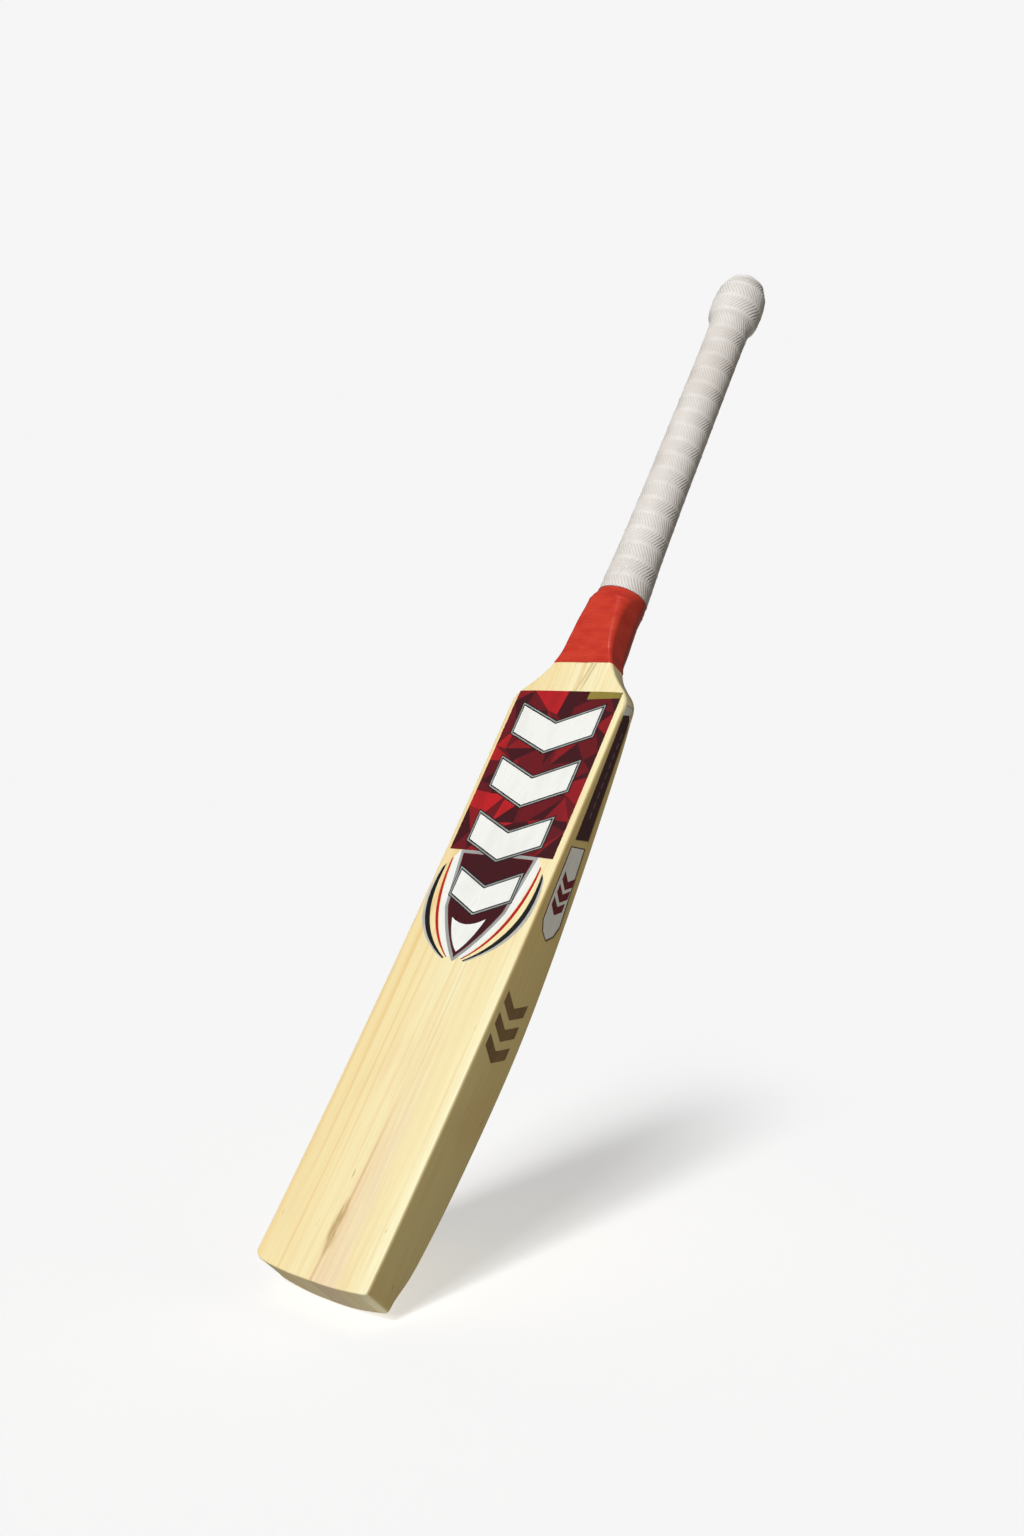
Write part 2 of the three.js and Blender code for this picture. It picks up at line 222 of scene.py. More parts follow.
def new_object(name, points, faces, materials=(), face_materials=None):
    """A mesh object from design-frame points."""
    mesh = bpy.data.meshes.new(name)
    mesh.from_pydata([tuple(p) for p in row(points)], [], [tuple(int(i) for i in f) for f in faces])
    for material in materials:
        mesh.materials.append(material)
    if face_materials is not None:
        mesh.polygons.foreach_set("material_index", np.asarray(face_materials, np.int32))
    mesh.update()
    obj = bpy.data.objects.new(name, mesh)
    bpy.context.scene.collection.objects.link(obj)
    return obj


def shade(obj, angle=35):
    """Smooth shading that keeps edges sharper than angle."""
    mesh = obj.data
    mesh.polygons.foreach_set("use_smooth", [True] * len(mesh.polygons))
    mesh.set_sharp_from_angle(angle=math.radians(angle))
    mesh.update()


def settle(obj, slot, *nodes):
    """The piece rides on the bat and stands for the CAD nodes, which it hides. slot is not used."""
    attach(obj, "root")
    if nodes:
        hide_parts(*nodes)


def skin(rings, closed=False):
    """Quads between rings of equal length. closed joins the last ring to the first."""
    count = len(rings[0])
    faces = []
    pairs = list(range(len(rings) - 1)) + ([len(rings) - 1] if closed else [])
    for ring in pairs:
        a, b = ring * count, ((ring + 1) % len(rings)) * count
        for i in range(count):
            j = (i + 1) % count
            faces.append((a + i, a + j, b + j, b + i))
    return faces


def capped(rings):
    """Points and faces of a closed solid through the rings, the ends filled with one face each."""
    points = np.concatenate(rings)
    count = len(rings[0])
    last = (len(rings) - 1) * count
    faces = skin(rings)
    faces.append(tuple(range(count - 1, -1, -1)))
    faces.append(tuple(range(last, last + count)))
    return points, faces


def ring_at(z, grow=0.0, **steps):
    outline = section(z, grow, **steps)
    return np.column_stack([outline, np.full(len(outline), z)])


def prism(name, outline, low_y, high_y):
    """A solid with an (x, z) outline, from low_y to high_y."""
    near = [(x, low_y, z) for x, z in outline]
    far = [(x, high_y, z) for x, z in outline]
    count = len(outline)
    faces = [tuple(range(count)), tuple(range(2 * count - 1, count - 1, -1))]
    faces += [(i, count + i, count + (i + 1) % count, (i + 1) % count) for i in range(count)]
    obj = new_object(name, near + far, faces)
    outward(obj)
    return obj


def outward(obj):
    bm = bmesh.new()
    bm.from_mesh(obj.data)
    bmesh.ops.recalc_face_normals(bm, faces=bm.faces)
    bm.to_mesh(obj.data)
    bm.free()
    obj.data.update()


def boolean(obj, tool, operation):
    """Applies a boolean and removes the tool."""
    modifier = obj.modifiers.new("cut", "BOOLEAN")
    modifier.operation = operation
    modifier.solver = "EXACT"
    modifier.object = tool
    bpy.context.view_layer.update()
    cut = bpy.data.meshes.new_from_object(obj.evaluated_get(bpy.context.evaluated_depsgraph_get()))
    obj.modifiers.remove(modifier)
    obj.data = cut
    bpy.data.objects.remove(tool)


# ---------------------------------------------------------------- materials


class Paint:
    """A Principled material with short calls for its nodes."""

    def __init__(self, name, color, roughness, specular=0.5):
        self.material = bpy.data.materials.new(name)
        self.material.use_nodes = True
        self.tree = self.material.node_tree
        self.shader = self.tree.nodes["Principled BSDF"]
        self.shader.inputs["Base Color"].default_value = rgba(color)
        self.shader.inputs["Roughness"].default_value = roughness
        self.shader.inputs["Specular IOR Level"].default_value = specular
        self.place = self.tree.nodes.new("ShaderNodeTexCoord").outputs["Object"]

    def node(self, kind, inputs=None, **settings):
        node = self.tree.nodes.new(kind)
        for key, value in settings.items():
            setattr(node, key, value)
        for key, value in (inputs or {}).items():
            self.feed(value, node.inputs[key])
        return node

    def feed(self, value, socket):
        if isinstance(value, bpy.types.NodeSocket):
            self.tree.links.new(value, socket)
        else:
            socket.default_value = value

    def scaled(self, scale, offset=(0, 0, 0)):
        """Object coordinates stretched by scale, in 1/metres."""
        mapping = self.node("ShaderNodeMapping", {"Vector": self.place, "Scale": scale, "Location": offset})
        return mapping.outputs["Vector"]

    def noise(self, scale, detail=3.0, roughness=0.55, offset=(0, 0, 0), distortion=0.0):
        settings = {
            "Vector": self.scaled(scale, offset),
            "Scale": 1.0,
            "Detail": detail,
            "Roughness": roughness,
            "Distortion": distortion,
        }
        return self.node("ShaderNodeTexNoise", settings).outputs["Fac"]

    def math(self, operation, a, b=0.0):
        return self.node("ShaderNodeMath", {0: a, 1: b}, operation=operation).outputs[0]

    def fit(self, value, low, high, to_low=0.0, to_high=1.0):
        """value from low..high to to_low..to_high, eased and clamped."""
        settings = {"Value": value, "From Min": low, "From Max": high, "To Min": to_low, "To Max": to_high}
        return self.node("ShaderNodeMapRange", settings, interpolation_type="SMOOTHSTEP").outputs["Result"]

    def mix(self, share, a, b, blend="MIX"):
        node = self.node("ShaderNodeMix", data_type="RGBA", blend_type=blend)
        self.feed(share, node.inputs["Factor"])
        self.feed(a if isinstance(a, bpy.types.NodeSocket) else rgba(a), node.inputs["A"])
        self.feed(b if isinstance(b, bpy.types.NodeSocket) else rgba(b), node.inputs["B"])
        return node.outputs["Result"]

    def bump(self, height, strength, distance):
        node = self.node("ShaderNodeBump", {"Height": height, "Strength": strength, "Distance": distance})
        self.feed(node.outputs["Normal"], self.shader.inputs["Normal"])

    def color(self, value):
        self.feed(value, self.shader.inputs["Base Color"])

    def roughness(self, value):
        self.feed(value, self.shader.inputs["Roughness"])


def rgba(color):
    """An sRGB colour, 0 to 255, as linear RGBA."""
    return tuple(((c / 255 + 0.055) / 1.055) ** 2.4 if c > 10 else c / 255 / 12.92 for c in color) + (1.0,)


def willow_paint():
    p = Paint("willow_wood", (244, 222, 168), 0.5, 0.35)
    axes = p.node("ShaderNodeSeparateXYZ", {"Vector": p.place}).outputs
    x, y, z = axes["X"], axes["Y"], axes["Z"]
    broad = p.noise((46, 9, 1.3), 3.0, 0.55)
    streak = p.noise((170, 25, 2.6), 4.0, 0.62, (3, 1, 2))
    cloud = p.noise((40, 20, 11), 3.0, 0.6, (8, 2, 5))
    tone = p.mix(p.fit(broad, 0.38, 0.64), (255, 250, 208), (252, 238, 186))
    left = p.fit(p.math("ADD", x, p.math("MULTIPLY", p.math("SUBTRACT", broad, 0.5), 0.05)), 0.012, -0.03)
    tone = p.mix(p.math("MULTIPLY", left, 0.6), tone, (250, 224, 160))
    tone = p.mix(p.fit(streak, 0.5, 0.76, 0.0, 0.7), tone, (246, 208, 136))
    tone = p.mix(p.fit(cloud, 0.48, 0.72, 0.0, 0.3), tone, (242, 210, 156))

    drift = p.math("MULTIPLY", p.math("SUBTRACT", p.noise((14, 4, 2.2), 2.0), 0.5), 0.014)
    across = p.math("ADD", x, drift)
    uneven = p.math("MULTIPLY", p.math("SUBTRACT", p.noise((90, 10, 0.6), 1.0, 0.5, (2, 9, 4)), 0.5), 0.012)
    ring_wave = p.math("SINE", p.math("MULTIPLY", p.math("ADD", across, uneven), 2 * math.pi / GROWTH_PITCH))
    growth = p.math("POWER", p.fit(ring_wave, 0.2, 1.0), 3.0)
    growth = p.math("MULTIPLY", growth, p.fit(p.noise((60, 12, 3), 2.0, 0.5, (9, 4, 6)), 0.44, 0.72, 0.0, 0.3))
    tone = p.mix(growth, tone, (232, 190, 126))

    side = p.math("ABSOLUTE", p.math("SUBTRACT", x, BLUSH[0]))
    blush = p.math("MULTIPLY", p.fit(side, 0.002, 0.017, 1.0, 0.0), p.fit(z, 0.05, BLUSH[1], 1.0, 0.0))
    blush = p.math("MULTIPLY", blush, p.fit(p.noise((140, 20, 7), 3.0, 0.6, (5, 5, 5)), 0.3, 0.7, 0.3, 0.85))
    tone = p.mix(blush, tone, (242, 214, 186))

    wander = p.math("ADD", x, p.math("MULTIPLY", drift, 0.6))
    vein = p.math("ABSOLUTE", p.math("SUBTRACT", wander, p.math("ADD", KNOT[0], p.math("MULTIPLY", z, 0.02))))
    vein = p.math("MULTIPLY", p.fit(vein, 0.0, 0.0022, 1.0, 0.0), p.fit(z, 0.06, 0.16, 0.5, 0.0))
    tone = p.mix(vein, tone, (206, 150, 84))
    knot_x = p.math("MULTIPLY", p.math("SUBTRACT", wander, KNOT[0]), 1 / KNOT_SIZE[0])
    knot_z = p.math("MULTIPLY", p.math("SUBTRACT", z, KNOT[1]), 1 / KNOT_SIZE[1])
    knot = p.math("ADD", p.math("POWER", knot_x, 2.0), p.math("POWER", knot_z, 2.0))
    speck = p.noise((420, 60, 60), 3.0, 0.65, (7, 3, 2))
    knot = p.math("MULTIPLY", p.fit(knot, 0.0, 1.0, 0.8, 0.0), p.fit(speck, 0.36, 0.62, 0.25, 1.0))
    tone = p.mix(knot, tone, (176, 138, 84))

    fleck = p.fit(p.noise((560, 300, 70), 1.0, 0.5, (2, 7, 1)), 0.765, 0.83)
    tone = p.mix(p.math("MULTIPLY", fleck, 0.5), tone, (150, 104, 56))
    slant = p.math("MULTIPLY", p.math("SUBTRACT", z, TAPE_START_Z / 1000), 0.25)
    from_streak = p.math("SUBTRACT", p.math("SUBTRACT", x, slant), THROAT_STREAK_X)
    double = p.math("ABSOLUTE", p.math("SUBTRACT", p.math("ABSOLUTE", from_streak), THROAT_STREAK_HALF))
    throat = p.math("MULTIPLY", p.fit(double, 0.0002, 0.0018, 1.0, 0.0), p.fit(z, 0.455, 0.475))
    tone = p.mix(p.math("MULTIPLY", throat, 0.5), tone, (176, 150, 100))

    fibre = p.noise((1500, 700, 16), 2.0, 0.6)
    tone = p.mix(p.fit(fibre, 0.35, 0.7, 0.0, 0.16), tone, (220, 184, 124))
    # Painted shade: the blade's two side faces below the shoulders are multiplied darker, as a side turned
    # from the light.
    edge = p.fit(p.math("ABSOLUTE", x), HALF_BLADE / 1000 - 0.0012, HALF_BLADE / 1000 - 0.0002)
    edge = p.math("MULTIPLY", edge, p.fit(z, 0.44, 0.456, 1.0, 0.0))
    tone = p.mix(edge, tone, (214, 200, 168), "MULTIPLY")
    p.color(tone)
    p.roughness(p.fit(fibre, 0.3, 0.7, 0.4, 0.54))
    p.bump(p.math("ADD", fibre, p.math("MULTIPLY", growth, 0.6)), 0.12, 0.0004)
    return p.material


def cane_paint():
    p = Paint("cane_wood", (220, 190, 132), 0.6, 0.3)
    pores = p.noise((900, 900, 22), 2.0, 0.6)
    tone = p.mix(p.fit(p.noise((180, 180, 5), 3.0), 0.35, 0.65), (226, 200, 146), (204, 168, 108))
    tone = p.mix(p.fit(pores, 0.55, 0.72, 0.0, 0.6), tone, (150, 112, 66))
    p.color(tone)
    p.bump(pores, 0.25, 0.0004)
    return p.material


def rubber_paint(name, color, dark):
    p = Paint(name, color, 0.75, 0.3)
    cloud = p.noise((60, 60, 60), 4.0, 0.6)
    p.color(p.mix(p.fit(cloud, 0.35, 0.7), color, dark))
    p.roughness(p.fit(cloud, 0.3, 0.7, 0.62, 0.82))
    p.bump(p.noise((1600, 1600, 1600), 2.0), 0.1, 0.0003)
    return p.material


def grip_paint():
    p = Paint("grip_rubber", (228, 222, 215), 0.62, 0.35)
    cloud = p.noise((22, 22, 16), 4.0, 0.6)
    grime = p.noise((160, 160, 90), 4.0, 0.65, (4, 2, 8))
    groove_shade = p.node("ShaderNodeAttribute", attribute_name="groove_shade").outputs["Fac"]
    tone = p.mix(p.fit(cloud, 0.35, 0.68), (236, 232, 228), (225, 219, 213))
    tone = p.mix(p.fit(grime, 0.56, 0.8, 0.0, 0.3), tone, (200, 189, 178))
    # Painted shade: the rubber is darker down between the ribs and in a thin band beside each ring.
    tone = p.mix(p.fit(groove_shade, 0.3, 1.0, 0.0, 0.5), tone, (186, 176, 166))
    p.color(tone)
    p.roughness(p.fit(grime, 0.35, 0.7, 0.55, 0.72))
    p.bump(p.noise((1400, 1400, 1400), 2.0), 0.08, 0.0003)
    return p.material


def tape_paint():
    p = Paint("red_tape", (206, 60, 44), 0.3, 0.5)
    cloud = p.noise((40, 40, 120), 3.0, 0.6)
    p.color(p.mix(p.fit(cloud, 0.35, 0.7), (212, 66, 46), (196, 50, 37)))
    stretch = p.noise((50, 50, 320), 3.0, 0.6, (1, 6, 3))
    p.roughness(p.fit(stretch, 0.35, 0.7, 0.24, 0.4))
    p.bump(stretch, 0.05, 0.0004)
    return p.material


def vinyl_paint(name, color, roughness=0.3, wear=0.12):
    """Printed film: even ink, with faint clouding and the wood's texture showing through."""
    p = Paint(name, color, roughness, 0.5)
    cloud = p.noise((90, 90, 30), 3.0, 0.6)
    darker = tuple(c * (1 - wear) for c in color)
    p.color(p.mix(p.fit(cloud, 0.35, 0.7), color, darker))
    p.roughness(p.fit(cloud, 0.3, 0.7, roughness * 0.85, roughness * 1.25))
    p.bump(p.noise((700, 700, 40), 2.0), 0.03, 0.0002)
    return p.material


def twine_paint():
    p = Paint("waxed_twine", (207, 192, 160), 0.8, 0.3)
    z = p.node("ShaderNodeSeparateXYZ", {"Vector": p.place}).outputs["Z"]
    turns = p.math("SINE", p.math("MULTIPLY", z, 2 * math.pi / 0.0009))
    # Painted shade: each turn of twine is lighter on its top and darker down where it meets the next.
    p.color(p.mix(p.fit(turns, -1, 1), (150, 132, 98), (214, 200, 168)))
    p.bump(turns, 0.8, 0.0003)
    return p.material


# ---------------------------------------------------------------- the blade

TOE_FILLET = 0.9
TOE_ZONE = 40.0
KNOT = (0.0052, 0.042)
KNOT_SIZE = (0.0055, 0.024)
GROWTH_PITCH = 0.0105
BLUSH = (0.017, 0.2)
THROAT_STREAK_X = 0.0128
THROAT_STREAK_HALF = 0.0017


def toe_z(x, y):
    """Height of the arched, slanted toe."""
    corner = np.where(x < 0, TOE_CORNER_LEFT, TOE_CORNER_RIGHT)
    x = np.abs(x)
    arch = TOE_ARCH * (np.clip(x - TOE_FLAT_HALF, 0, None) / (HALF_BLADE - TOE_FLAT_HALF)) ** 2
    over = np.clip(x - (HALF_BLADE - corner), 0, corner)
    height = arch + corner - np.sqrt(np.clip(corner**2 - over**2, 0, None))
    return (TOE_BACK_Y - y) * math.tan(TOE_SLANT) + height / math.cos(TOE_SLANT)


def toe_rings():
    """Rings from the middle of the toe's end face out, round its edge and up to the blade proper."""
    rim = section(0.0, -TOE_FILLET)
    middle = np.array([0.0, (rim[:, 1].min() + rim[:, 1].max()) / 2])
    rings = []
    for share in (0.12, 0.3, 0.5, 0.68, 0.82, 0.92, 0.975):
        flat = middle + (rim - middle) * share
        rings.append(np.column_stack([flat, toe_z(flat[:, 0], flat[:, 1])]))
    for angle in np.radians([0, 22.5, 45, 67.5, 90]):
        flat = section(0.0, -TOE_FILLET * (1 - math.sin(angle)))
        lift = TOE_FILLET * (1 - math.cos(angle))
        rings.append(np.column_stack([flat, toe_z(flat[:, 0], flat[:, 1]) + lift]))
    for level in np.arange(3.0, TOE_ZONE + 0.1, 3.7):
        flat = section(level)
        fade = 1 - (level - TOE_FILLET) / (TOE_ZONE - TOE_FILLET)
        rings.append(np.column_stack([flat, toe_z(flat[:, 0], flat[:, 1]) * max(fade, 0) + level]))
    return rings


def splice_outline(clearance, top):
    right = [
        (SPLICE_TIP[0] + clearance, SPLICE_TIP[1] - clearance),
        (SPLICE_MOUTH[0] + clearance, SPLICE_MOUTH[1]),
        (SPLICE_MOUTH[0] + clearance, top),
    ]
    return right + [(-x, z) for x, z in reversed(right)]


def make_blade(willow):
    levels = np.concatenate([np.arange(45, 446, 4.0), np.arange(447, 507, 1.5), [BLADE_END_Z - 0.3]])
    blade = new_object("blade_wood", *capped(toe_rings() + [ring_at(z) for z in levels]), materials=[willow])
    outward(blade)
    outline = splice_outline(SPLICE_CLEARANCE, BLADE_END_Z + 20)
    boolean(blade, prism("splice_tool", outline, FRONT_OF_ALL_Y, FAR), "DIFFERENCE")
    shade(blade, 32)
    settle(blade, "willow", "blade")


def handle_block(name, low, high):
    """A box in the handle's own leaning axes, through the layers in y and along the handle in z."""
    corners = [(x, y, z) for z in (low[2], high[2]) for y in (low[1], high[1]) for x in (low[0], high[0])]
    lean = Matrix.Rotation(HANDLE_LEAN, 3, "X")
    points = [lean @ Vector(c) + Vector((0, AXIS_Y, SHOULDER_Z)) for c in corners]
    faces = [(0, 1, 3, 2), (4, 6, 7, 5), (0, 4, 5, 1), (2, 3, 7, 6), (0, 2, 6, 4), (1, 5, 7, 3)]
    box = new_object(name, points, faces)
    outward(box)
    return box


def make_canes(willow, cane):
    """The outer layers of cane, whose faces show in the splice. The front one is faced like the blade."""
    levels = [np.arange(318, 448, 5.0), np.arange(450, 512, 1.5), np.arange(516, 858, 9.0), [858.0]]
    levels = np.concatenate(levels)
    outline = splice_outline(0, BLADE_END_Z)
    shoulders = [(80, BLADE_END_Z), (80, 870), (-80, 870), (-80, BLADE_END_Z)]
    zone = outline[:3] + shoulders + outline[3:]
    inset = SPRING_THICKNESS / 2 + GLUE_GAP
    layers = {1: (-FAR, -LAYER_PITCH - inset, willow), 4: (LAYER_PITCH + inset, FAR, cane)}
    columns = [(-FAR, -CANE_COLUMN_HALF), (-CANE_COLUMN_HALF, CANE_COLUMN_HALF), (CANE_COLUMN_HALF, FAR)]
    for layer, (low_y, high_y, material) in layers.items():
        for column, (low_x, high_x) in enumerate(columns, 1):
            name = f"cane_{layer}_{column}"
            piece = new_object(name + "_wood", *capped([ring_at(z) for z in levels]), materials=[material])
            outward(piece)
            boolean(piece, prism("zone_tool", zone, FRONT_OF_ALL_Y, FAR), "INTERSECT")
            low = (low_x + GLUE_GAP / 2, low_y, -SHOULDER_Z)
            high = (high_x - GLUE_GAP / 2, high_y, 500)
            boolean(piece, handle_block("layer_tool", low, high), "INTERSECT")
            shade(piece, 32)
            settle(piece, "cane", name)


# ---------------------------------------------------------------- the wrap and the grip


def leaned(z, outline):
    """A ring square to the leaning handle: points in front of the axis sit lower."""
    rise = (outline[:, 1] - axis_y(z)) * math.tan(HANDLE_LEAN)
    return np.column_stack([outline, z + rise])


TAPE_THICKNESS = 0.5
TAPE_PITCH = 12.5
TAPE_LAP = 0.09
TAPE_LAP_SHARE = 0.88
TAPE_RISE_SHARE = 0.12
TAPE_ROLL = 1.0
TAPE_ROLL_ZONE = (535, 547)
TAPE_LIFT_ZONE = (492, 513)
TAPE_ON_WOOD = 0.1
TAPE_LIFT = 1.2
RIDGE_CENTRES = (545.4, 548.8)
RIDGE_HALF = 0.9
RIDGE_HEIGHT = 0.3


def tape_height(z, angle):
    """How far the wrap stands off the wood: overlapping turns, two ridges near the top and rounded ends."""
    turn = ((z - TAPE_START_Z) / TAPE_PITCH + angle / (2 * np.pi)) % 1
    down, up = 1 - turn / TAPE_LAP_SHARE, (turn - TAPE_LAP_SHARE) / TAPE_RISE_SHARE
    lap = TAPE_LAP * np.where(turn < TAPE_LAP_SHARE, down, up)
    ridges = sum(RIDGE_HEIGHT * np.exp(-(((z - centre) / RIDGE_HALF) ** 2)) for centre in RIDGE_CENTRES)
    return lap + ridges + TAPE_ROLL * smoothstep(z, *TAPE_ROLL_ZONE)


def tape_clearance(z):
    """The wrap lies on the wood at its lower end, and over the twine above."""
    return TAPE_ON_WOOD + TAPE_LIFT * float(smoothstep(z, *TAPE_LIFT_ZONE))


def make_wrap(tape):
    steps = {"face_steps": 16, "corner_steps": 16, "back_steps": 30}
    levels = np.concatenate([np.arange(TAPE_START_Z, GRIP_START_Z - 0.3, 0.75), [GRIP_START_Z - 0.3]])
    rings = []
    for z in levels:
        plain = section(z, tape_clearance(z) + TAPE_THICKNESS, **steps)
        centre = np.array([0, axis_y(z)])
        outward_dir = plain - centre
        angle = np.arctan2(outward_dir[:, 1], outward_dir[:, 0])
        outward_dir /= np.linalg.norm(outward_dir, axis=1)[:, None]
        ends = min(1.0, (z - levels[0]) / 0.8, (levels[-1] - z) / 0.8)
        height = tape_height(z, angle) - 0.3 * (1 - max(ends, 0)) ** 2
        wave = 0.2 * np.sin(2 * angle + 1) + 0.12 * np.sin(5 * angle)
        sway = wave * (1 - smoothstep(z, TAPE_START_Z, TAPE_START_Z + 8))
        ring = leaned(z, plain + outward_dir * height[:, None])
        ring[:, 2] += sway
        rings.append(ring)
    inner = [leaned(z, section(z, tape_clearance(z), **steps)) for z in levels[::-8]]
    shell = rings + inner
    wrap = new_object("throat_wrap", np.concatenate(shell), skin(shell, closed=True), [tape])
    outward(wrap)
    shade(wrap, 50)
    settle(wrap, "red_wrap", "red_throat_wrap")


GRIP_PROFILE = [
    (GRIP_START_Z, 19.9),
    (573, 19.2),
    (595, 18.3),
    (625, 17.7),
    (655, 17.2),
    (700, 16.9),
    (750, 16.5),
    (800, 16.35),
    (813, 16.8),
    (816.5, 17.7),
    (820, 19.4),
    (824, 20.5),
    (829, 20.8),
    (840, 20.8),
    (848, 19.5),
    (855, 16.5),
    (860.5, 12.2),
    (863.6, 8.6),
    (BAT_LENGTH, 6.6),
]
GRIP_HOLE = 6.0
GRIP_STEP = 0.88
RIDGES_AROUND = 42
BAND = 14.0
RIDGE_TWIST = 1.62
RIDGE_DEPTH = 0.6
RING_HEIGHT = 0.2


def ridge_height(s, angle):
    """Herringbone ribs: they slant one way in a band and the other way in the next, with a thin ring between.
    Returns the height above the plain sleeve, and a painted-shade mask from 0 to 1: how deep down between the
    ribs each point lies, with a thin dark band beside each ring."""
    cycle = s % (2 * BAND)
    zigzag = np.where(cycle < BAND, cycle, 2 * BAND - cycle)
    rib = 0.5 + 0.5 * np.cos(RIDGES_AROUND * angle + RIDGE_TWIST * zigzag)
    from_join = np.minimum(cycle % BAND, BAND - cycle % BAND)
    fade = smoothstep(from_join, 0.9, 2.4)
    ring = RING_HEIGHT * np.exp(-((from_join / 0.7) ** 2))
    # Painted shade: a thin dark band beside each ring, where the shape has no dip.
    shade_beside_ring = 0.2 * np.exp(-(((from_join - 1.7) / 0.6) ** 2))
    groove_shade = np.maximum((1 - rib) * fade, shade_beside_ring)
    return ring - RIDGE_DEPTH * (1 - rib) * fade - 0.15, groove_shade


def make_grip(rubber):
    zs = np.array([p[0] for p in GRIP_PROFILE])
    arc = np.concatenate([[0], np.cumsum(np.hypot(np.diff(zs), np.diff([p[1] for p in GRIP_PROFILE])))])
    z_of = profile(list(zip(arc, zs)))
    r_of = profile(list(zip(arc, [p[1] for p in GRIP_PROFILE])))
    angle = np.linspace(0, 2 * np.pi, 6 * RIDGES_AROUND, endpoint=False)
    rings, groove_shades = [], []

    def ring(z, radius):
        s = (z - SHOULDER_Z) / math.cos(HANDLE_LEAN)
        x, depth = radius * np.cos(angle), radius * np.sin(angle)
        y = AXIS_Y + depth * math.cos(HANDLE_LEAN) - s * math.sin(HANDLE_LEAN)
        up = SHOULDER_Z + depth * math.sin(HANDLE_LEAN) + s * math.cos(HANDLE_LEAN)
        rings.append(np.column_stack([x, y, up]))

    for length in np.arange(0, arc[-1], GRIP_STEP):
        z = float(z_of(length))
        fade = float(smoothstep(length, 0, 2) * (1 - smoothstep(z, 854, 862)))
        height, groove_shade = ridge_height(length, angle)
        ring(z, float(r_of(length)) + height * fade)
        groove_shades.append(groove_shade * fade)
    ring(BAT_LENGTH - 0.3, GRIP_HOLE)
    ring(HANDLE_TOP_Z + 0.4, GRIP_HOLE)
    ring(HANDLE_TOP_Z + 0.3, float(handle_radius(HANDLE_TOP_Z)) + SLEEVE_ALLOWANCE)
    for z in (780, 710, 650, 610, 585, GRIP_START_Z):
        ring(z, float(handle_radius(z)) + SLEEVE_ALLOWANCE)
    groove_shades += [np.zeros(len(angle))] * (len(rings) - len(groove_shades))
    grip = new_object("grip", np.concatenate(rings), skin(rings, closed=True), [rubber])
    attribute = grip.data.attributes.new("groove_shade", "FLOAT", "POINT")
    attribute.data.foreach_set("value", np.concatenate(groove_shades).astype(np.float32))
    outward(grip)
    shade(grip, 60)
    settle(grip, "grip_rubber", "grip_sleeve")


# ---------------------------------------------------------------- labels


def grown(outline, distance):
    """A closed outline moved outward by distance, with mitred corners."""
    points = np.asarray(outline, float)
    after, before = np.roll(points, -1, 0), np.roll(points, 1, 0)
    area = float(np.sum(points[:, 0] * after[:, 1] - after[:, 0] * points[:, 1]))
    side = 1.0 if area > 0 else -1.0

    def normal(a, b):
        d = (b - a) / np.linalg.norm(b - a, axis=1)[:, None]
        return np.column_stack([d[:, 1], -d[:, 0]]) * side

    n1, n2 = normal(before, points), normal(points, after)
    mitre = n1 + n2
    mitre /= np.maximum(np.sum(mitre * n1, 1), 0.35)[:, None]
    return points + mitre * distance


class Film:
    """Thin printed layers laid on a surface. place(u, v, height) gives the design-frame point."""

    def __init__(self, place, step_u=9.0, step_v=22.0):
        self.place = place
        self.steps = (step_u, step_v)
        self.points, self.faces, self.indices = [], [], []
        self.materials = []

    def layer(self, outlines, material, low, high):
        """Adds closed plates between two heights above the wood. outlines share one material."""
        if material not in self.materials:
            self.materials.append(material)
        index = self.materials.index(material)
        for outline in outlines:
            self.plate(outline, index, low, high)

    def plate(self, outline, index, low, high):
        bm = bmesh.new()
        face = bm.faces.new([bm.verts.new((float(u), float(v), 0)) for u, v in outline])
        bm.normal_update()
        if face.normal.z < 0:
            bmesh.ops.reverse_faces(bm, faces=bm.faces[:])
        bmesh.ops.triangulate(bm, faces=bm.faces[:])
        for axis, step in enumerate(self.steps):
            values = [v.co[axis] for v in bm.verts]
            normal = [0, 0, 0]
            normal[axis] = 1
            cut = math.ceil(min(values) / step) * step
            while cut < max(values):
                spot = [0, 0, 0]
                spot[axis] = cut
                everything = bm.verts[:] + bm.edges[:] + bm.faces[:]
                bmesh.ops.bisect_plane(bm, geom=everything, dist=1e-3, plane_co=spot, plane_no=normal)
                cut += step
        bm.verts.index_update()
        base = len(self.points)
        count = len(bm.verts)
        flat = [v.co[:2] for v in bm.verts]
        self.points += [self.place(u, v, high) for u, v in flat] + [self.place(u, v, low) for u, v in flat]
        faces = []
        for f in bm.faces:
            ids = [v.index for v in f.verts]
            faces.append([base + i for i in ids])
            faces.append([base + count + i for i in reversed(ids)])
        for e in bm.edges:
            if len(e.link_loops) == 1:
                loop = e.link_loops[0]
                a, b = loop.vert.index, loop.link_loop_next.vert.index
                faces.append([base + b, base + a, base + count + a, base + count + b])
        self.faces += faces
        self.indices += [index] * len(faces)
        bm.free()

    def finish(self, name):
        obj = new_object(name, self.points, self.faces, self.materials, self.indices)
        shade(obj, 25)
        return obj


def on_face(u, v, height):
    limit = float(half_width(v)) - 0.4
    u = max(-limit, min(limit, u))
    return (u, face_y(u, v) - height, v)


def on_edge(side):
    def place(u, v, height):
        """u runs in depth, v up the blade."""
        return (side * (float(half_width(v)) + height), u, v)

    return place


